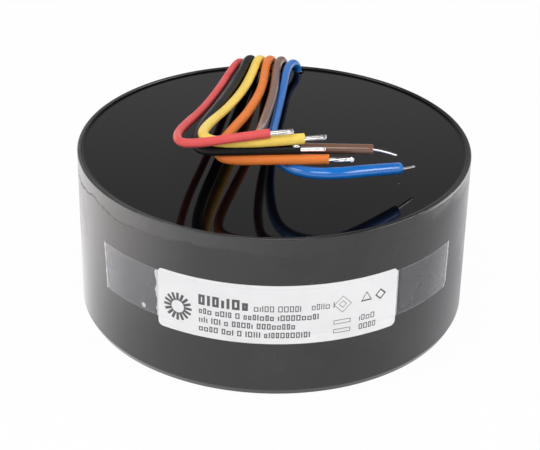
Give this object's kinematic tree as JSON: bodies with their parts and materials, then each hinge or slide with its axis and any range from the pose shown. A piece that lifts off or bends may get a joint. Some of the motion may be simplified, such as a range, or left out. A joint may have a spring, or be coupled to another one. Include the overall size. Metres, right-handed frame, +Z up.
{
  "type": "toroidal transformer",
  "caption": "Round black resin-potted toroidal mains transformer with free tinned leads, a blank-print label and a threaded fixing bush in its base.",
  "frame": {"origin": "middle of the underside of the case", "axes": "+Z up along the ring's axis, -Y towards the label, the leads leave the resin at +Y"},
  "size_m": [0.15, 0.1503, 0.0941],
  "materials": {
    "case_plastic": "moulded black plastic, satin, with handling smudges",
    "potting_resin": "cast black resin, mirror smooth where it set",
    "bush_brass": "machined, knurled outside",
    "core_steel": "wound silicon steel strip",
    "wrap_film": "translucent polyester insulating tape",
    "enamelled_copper": "enamelled copper wire, close wound",
    "label_stock": "white self-adhesive label with grey print",
    "clear_film": "clear adhesive tape with a serrated cut",
    "tinned_wire": "tinned copper, bright",
    "red_sleeving": "flexible sleeving, satin",
    "black_sleeving": "flexible sleeving, satin",
    "yellow_sleeving": "flexible sleeving, satin",
    "orange_sleeving": "flexible sleeving, satin",
    "brown_sleeving": "flexible sleeving, satin",
    "blue_sleeving": "flexible sleeving, satin"
  },
  "bodies": {
    "root": {"case": "case_plastic", "resin_fill": "potting_resin", "fixing_bush": "bush_brass", "core": "core_steel", "core_wrap": "wrap_film", "primary_winding": "enamelled_copper", "interwinding_wrap": "wrap_film", "secondary_winding_1": "enamelled_copper", "secondary_winding_2": "enamelled_copper", "outer_wrap": "wrap_film", "label": "label_stock", "clear_tape": "clear_film", "red_lead_sleeve": "red_sleeving", "black_lead_sleeve": "black_sleeving", "yellow_lead_sleeve": "yellow_sleeving", "orange_lead_sleeve": "orange_sleeving", "brown_lead_sleeve": "brown_sleeving", "blue_lead_sleeve": "blue_sleeving", "red_lead_wire": "tinned_wire", "black_lead_wire": "tinned_wire", "yellow_lead_wire": "tinned_wire", "orange_lead_wire": "tinned_wire", "brown_lead_wire": "tinned_wire", "blue_lead_wire": "tinned_wire"}
  },
  "joints": []
}
